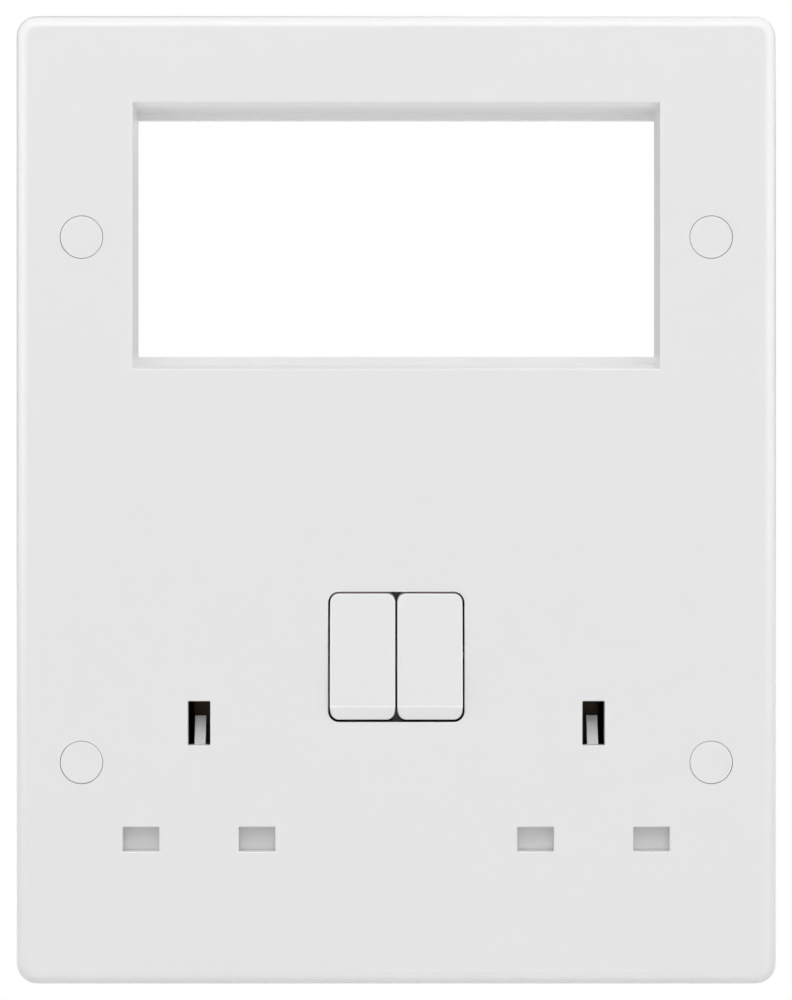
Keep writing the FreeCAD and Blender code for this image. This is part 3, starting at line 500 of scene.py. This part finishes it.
handIn(screwSet(fixingScrew, fixingPlaces(fixingScrew), 1), "fixingScrewSet",
       finishes["plated_steel"], "plate", "plated_steel", "fixing_screws")
handIn(screwSet(coverScrew, coverPlaces(coverScrew), -1), "coverScrewSet",
       finishes["plated_steel"], "plate", "plated_steel", "cover_screws")
for terminal in terminals:
    low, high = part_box(terminal + "_screw")
    seat = high.y - terminalScrew["headThick"]
    middle = (low + high) / 2
    screw = makeScrew({**terminalScrew, "length": seat - low.y})
    placeScrew(screw, (middle.x, seat, middle.z), -1)
    handIn(screw, terminal + "_slotted_screw", finishes["plated_steel"], "plate", "plated_steel",
           terminal + "_screw")
print("screws made")

# coil springs
shutterCoil = {"coil": 1.55 * mm, "wire": 0.25 * mm, "pitch": 1.6 * mm, "travel": 6 * mm}
plungerCoil = {"coil": 1.3 * mm, "wire": 0.2 * mm, "pitch": 1.05 * mm, "travel": 1 * mm,
               "length": 5.4 * mm, "floor": (6.45 * mm, -7.188 * mm, -29.87 * mm),
               "along": (0, -0.9945219, 0.1045285)}
coilForm = {"wireSides": 10, "stepsPerTurn": 22}


def makeCoil(look, length):
    clearSelection()
    bpy.ops.mesh.primitive_circle_add(vertices=coilForm["wireSides"], radius=look["wire"],
                                      location=(look["coil"], 0, look["wire"]),
                                      rotation=(math.pi / 2, 0, 0))
    coil = bpy.context.active_object
    bpy.ops.object.transform_apply(location=True, rotation=True, scale=True)
    rise = length - 2 * look["wire"]
    turns = rise / look["pitch"]
    steps = round(coilForm["stepsPerTurn"] * turns)
    useModifier(coil, "SCREW", axis="Z", angle=2 * math.pi * turns, screw_offset=rise,
                steps=steps, render_steps=steps)
    openMesh(coil)
    bpy.ops.mesh.fill_holes(sides=0)
    closeMesh()
    fixNormals(coil)
    return coil


for side, sign in sides.items():
    low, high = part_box("shutter_spring_" + side)
    length = high.z - low.z
    spring = makeCoil(shutterCoil, length)
    spring.location = ((low.x + high.x) / 2, (low.y + high.y) / 2, low.z)
    handIn(spring, "shutter_coil_" + side, finishes["spring_steel"], "plate", "spring_steel",
           "shutter_spring_" + side)
    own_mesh(spring)
    spring = makeCoil(plungerCoil, plungerCoil["length"])
    spring.rotation_euler = (-math.pi / 2 - rockerPivot["tilt"], 0, 0)
    x, y, z = plungerCoil["floor"]
    spring.location = (sign * x, y, z)
    handIn(spring, "plunger_coil_" + side, finishes["spring_steel"], "rocker_" + side, "spring_steel",
           "plunger_spring_" + side)
    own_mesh(spring)
print("springs made")

# red strips on the rockers' top ends, which show when a rocker is on
onStrip = {"halfWidth": 4.5 * mm, "radius": 12.815 * mm, "thick": 0.04 * mm, "steps": 12,
           "from": math.radians(6), "to": math.radians(15.5)}


def makeOnStrip(look):
    clearSelection()
    bpy.ops.mesh.primitive_grid_add(x_subdivisions=1, y_subdivisions=look["steps"], size=1)
    strip = bpy.context.active_object
    openMesh(strip)
    mesh = bmesh.from_edit_mesh(strip.data)
    for vert in mesh.verts:
        turn = look["from"] + (vert.co.y + 0.5) * (look["to"] - look["from"])
        vert.co = (2 * vert.co.x * look["halfWidth"], -look["radius"] * math.sin(turn),
                   look["radius"] * math.cos(turn))
    bmesh.update_edit_mesh(strip.data)
    closeMesh()
    useModifier(strip, "SOLIDIFY", thickness=look["thick"], offset=0)
    fixNormals(strip)
    return strip


for side, sign in sides.items():
    strip = makeOnStrip(onStrip)
    strip.location = (sign * rockerPivot["x"], rockerPivot["y"], rockerPivot["z"])
    handIn(strip, "on_strip_" + side, redMarkPaint, "rocker_" + side, "rocker_white")

# raised marks above the terminals, read from behind; each bar is right, up, length and turn
markBars = {
    "line": [(-0.7, 0.0, 3.0, 90), (0.05, -1.25, 2.0, 0)],
    "neutral": [(-0.9, 0.0, 3.0, 90), (0.9, 0.0, 3.0, 90), (0.0, 0.0, 3.1, -54)],
    "earth": [(0.0, 0.9, 1.5, 90), (0.0, 0.1, 2.8, 0), (0.0, -0.6, 1.7, 0), (0.0, -1.3, 0.7, 0)],
}
markLook = {"width": 0.75 * mm, "depth": 0.9 * mm, "edge": 0.15 * mm, "edgeSteps": 2, "scale": 1.35,
            "rise": 7.0 * mm}


def makeBars(bars, look, place):  # rounded bars on the housing's back, laid out as seen from behind
    pieces = []
    size = look["scale"] * mm
    for right, up, length, turn in bars:
        clearSelection()
        barPlace = (place[0] - right * size, place[1], place[2] + up * size)
        bpy.ops.mesh.primitive_cube_add(size=1, rotation=(0, math.radians(turn), 0), location=barPlace)
        bar = bpy.context.active_object
        bar.scale = (length * size, look["depth"], look["width"])
        bpy.ops.object.transform_apply(location=False, rotation=False, scale=True)
        useModifier(bar, "BEVEL", width=look["edge"], segments=look["edgeSteps"])
        pieces.append(bar)
    return joinAll(pieces)


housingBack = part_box("rear_housing")[1].y
for terminal in terminals:
    low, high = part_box(terminal + "_screw")
    place = ((low.x + high.x) / 2, housingBack, (low.z + high.z) / 2 + markLook["rise"])
    mark = makeBars(markBars[terminal.split("_")[0]], markLook, place)
    handIn(mark, terminal + "_mark", finishes["housing_black"], "plate", "housing_black")

# moulded ribs over the back, with a pin mark in each cell
ribBars = [(0, up, 80.9, 0) for up in (-18, 0, 18)]
ribBars += [(right, 0, 36, 90) for right in (-40, -20, 0, 20, 40)]
ribLook = {"width": 0.9 * mm, "depth": 1.2 * mm, "edge": 0.3 * mm, "edgeSteps": 2, "scale": 1.0,
           "middle": -42 * mm}
pinMark = {"radius": 2.2 * mm, "depth": 0.5 * mm, "sides": 40, "edge": 0.12 * mm, "edgeSteps": 2,
           "dishRim": 0.5 * mm, "dishShare": 0.5,
           "cells": [(right, up) for right in (-30, -10, 10, 30) for up in (-9, 9)]}


def makePinMarks(look, place):  # round marks, dished in the middle
    pieces = []
    for right, up in look["cells"]:
        clearSelection()
        discPlace = (place[0] - right * mm, place[1], place[2] + up * mm)
        bpy.ops.mesh.primitive_cylinder_add(vertices=look["sides"], radius=look["radius"],
                                            depth=look["depth"], rotation=(math.pi / 2, 0, 0),
                                            location=discPlace)
        disc = bpy.context.active_object
        openMesh(disc)
        pickParts(disc, "FACE", lambda face: len(face.verts) > 4)
        bpy.ops.mesh.inset(thickness=look["dishRim"])
        bpy.ops.transform.resize(value=(1, look["dishShare"], 1), center_override=place)
        closeMesh()
        useModifier(disc, "BEVEL", width=look["edge"], segments=look["edgeSteps"], limit_method="ANGLE")
        pieces.append(disc)
    return joinAll(pieces)


ribPlace = (0, housingBack, ribLook["middle"])
handIn(makeBars(ribBars, ribLook, ribPlace), "housing_ribs", finishes["housing_black"], "plate",
       "housing_black")
handIn(makePinMarks(pinMark, ribPlace), "housing_pin_marks", finishes["housing_black"], "plate",
       "housing_black")
print("strips, marks and ribs made")

# camera square on to the plate, as in the photograph
cameraView = {"distance": 0.6, "frameHeight": 0.1915, "sensor": 36.0, "across": -0.06 * mm,
              "up": -0.04 * mm, "clipNear": 0.01, "clipFar": 20}
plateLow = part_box("front_plate")[0]


def placeCamera(view):
    clearSelection()
    cameraPlace = (view["across"], plateLow.y - view["distance"], view["up"])
    bpy.ops.object.camera_add(location=cameraPlace, rotation=(math.pi / 2, 0, 0))
    camera = bpy.context.active_object
    camera.data.sensor_width = view["sensor"]
    camera.data.lens = view["sensor"] * view["distance"] / view["frameHeight"]
    camera.data.clip_start = view["clipNear"]
    camera.data.clip_end = view["clipFar"]
    bpy.context.scene.camera = camera


placeCamera(cameraView)

# soft studio light
softLights = {
    "leftSoftbox": {"at": (-1.2, -0.75, 0.1), "size": (0.9, 1.3), "power": 2.9},
    "rightSoftbox": {"at": (1.2, -0.75, 0.1), "size": (0.9, 1.3), "power": 2.9},
    "topSoftbox": {"at": (0.0, -0.9, 0.9), "size": (1.4, 0.8), "power": 5.2},
    "lowSoftbox": {"at": (0.0, -0.5, -1.0), "size": (1.4, 0.6), "power": 3.5},
    "backSoftbox": {"at": (0.6, 1.25, 0.85), "size": (1.3, 1.3), "power": 5.5},
}
surround = {  # the ranges are of the Y of the direction looked in, from -1 in front to 1 behind
    "frontLight": 0.555, "backLight": 0.4, "lightRange": (-0.2, 0.4),
    "rimGlow": 3.8, "rimRange": (-0.985, -0.85), "backGlow": 0.5, "backRange": (0.0, 0.6),
}
floorLook = {"drop": 45 * mm, "size": 8.0, "tone": 0.65, "roughness": 0.6, "glow": 1.2,
             "shadowReach": 0.08, "fadeReach": 0.24, "nearWhite": 0.45}


def placeLights(lights):
    for name, light in lights.items():
        aim = (-Vector(light["at"])).to_track_quat("-Z", "Y")
        bpy.ops.object.light_add(type="AREA", location=light["at"], rotation=aim.to_euler())
        lamp = bpy.context.active_object
        lamp.name = name
        lamp.data.shape = "RECTANGLE"
        lamp.data.size, lamp.data.size_y = light["size"]
        lamp.data.energy = light["power"]


def seenRays(tree):  # 1 for rays that show the surround itself, 0 for those that only light the part
    path = addNode(tree, "ShaderNodeLightPath")
    shown = mathStep(tree, "MAXIMUM", path.outputs["Is Camera Ray"], path.outputs["Is Glossy Ray"])
    return mathStep(tree, "MAXIMUM", shown, path.outputs["Is Transmission Ray"])


def glossyRays(tree):
    return addNode(tree, "ShaderNodeLightPath").outputs["Is Glossy Ray"]


def rampAlong(tree, value, span, low, high):
    ramp = addNode(tree, "ShaderNodeMapRange", interpolation_type="SMOOTHSTEP")
    setInputs(ramp, From_Min=span[0], From_Max=span[1], To_Min=low, To_Max=high)
    tree.links.new(value, ramp.inputs["Value"])
    return ramp.outputs["Result"]


def mixShaders(tree, share, first, second):
    mix = addNode(tree, "ShaderNodeMixShader")
    tree.links.new(share, mix.inputs["Fac"])
    tree.links.new(first, mix.inputs[1])
    tree.links.new(second, mix.inputs[2])
    return mix.outputs["Shader"]


def shownLevel(tree, look, depth):  # white to the eye; reflections are brighter in front, dimmer behind
    rim = rampAlong(tree, depth, look["rimRange"], 0.0, look["rimGlow"] - 1.0)
    behind = rampAlong(tree, depth, look["backRange"], 0.0, look["rimGlow"] - look["backGlow"])
    change = mathStep(tree, "SUBTRACT", rim, behind)
    return mathStep(tree, "MULTIPLY_ADD", change, glossyRays(tree), 1.0)


def whiteWorld(look):
    world = bpy.data.worlds.new("whiteSurround")
    bpy.context.scene.world = world
    world.use_nodes = True
    tree = world.node_tree
    towards = addNode(tree, "ShaderNodeSeparateXYZ")
    direction = addNode(tree, "ShaderNodeTexCoord").outputs["Generated"]
    tree.links.new(direction, towards.inputs["Vector"])
    depth = towards.outputs["Y"]
    lit = tree.nodes["Background"]
    shown = addNode(tree, "ShaderNodeBackground")
    litLevel = rampAlong(tree, depth, look["lightRange"], look["frontLight"], look["backLight"])
    for background, level in ((lit, litLevel), (shown, shownLevel(tree, look, depth))):
        setInputs(background, Color=grey(1.0))
        tree.links.new(level, background.inputs["Strength"])
    surface = mixShaders(tree, seenRays(tree), lit.outputs["Background"], shown.outputs["Background"])
    tree.links.new(surface, tree.nodes["World Output"].inputs["Surface"])


def paleFloor(look):  # shows white away from the shadow, and lets the low light through
    clearSelection()
    bpy.ops.mesh.primitive_plane_add(size=look["size"], location=(0, 0, plateLow.z - look["drop"]))
    floor = bpy.context.active_object
    floor.name = "paleFloor"
    material = bpy.data.materials.new("paleFloor")
    material.use_nodes = True
    tree = material.node_tree
    shader = tree.nodes["Principled BSDF"]
    setInputs(shader, Base_Color=grey(look["tone"]), Roughness=look["roughness"])
    white = addNode(tree, "ShaderNodeEmission")
    setInputs(white, Color=grey(1.0))
    whiteLevel = mathStep(tree, "MULTIPLY_ADD", glossyRays(tree), look["glow"] - 1.0, 1.0)
    tree.links.new(whiteLevel, white.inputs["Strength"])
    far = addNode(tree, "ShaderNodeVectorMath", operation="LENGTH")
    tree.links.new(objectPlace(tree), far.inputs[0])
    fade = rampAlong(tree, far.outputs["Value"], (look["shadowReach"], look["fadeReach"]),
                     look["nearWhite"], 1.0)
    whiteShare = mathStep(tree, "MULTIPLY", fade, seenRays(tree))
    seen = mixShaders(tree, whiteShare, shader.outputs["BSDF"], white.outputs["Emission"])
    clear = addNode(tree, "ShaderNodeBsdfTransparent").outputs["BSDF"]
    shadowRays = addNode(tree, "ShaderNodeLightPath").outputs["Is Shadow Ray"]
    surface = mixShaders(tree, shadowRays, seen, clear)
    tree.links.new(surface, tree.nodes["Material Output"].inputs["Surface"])
    floor.data.materials.append(material)


placeLights(softLights)
whiteWorld(surround)
paleFloor(floorLook)
bpy.context.scene.view_settings.view_transform = "Standard"
print("camera, lights and floor placed")
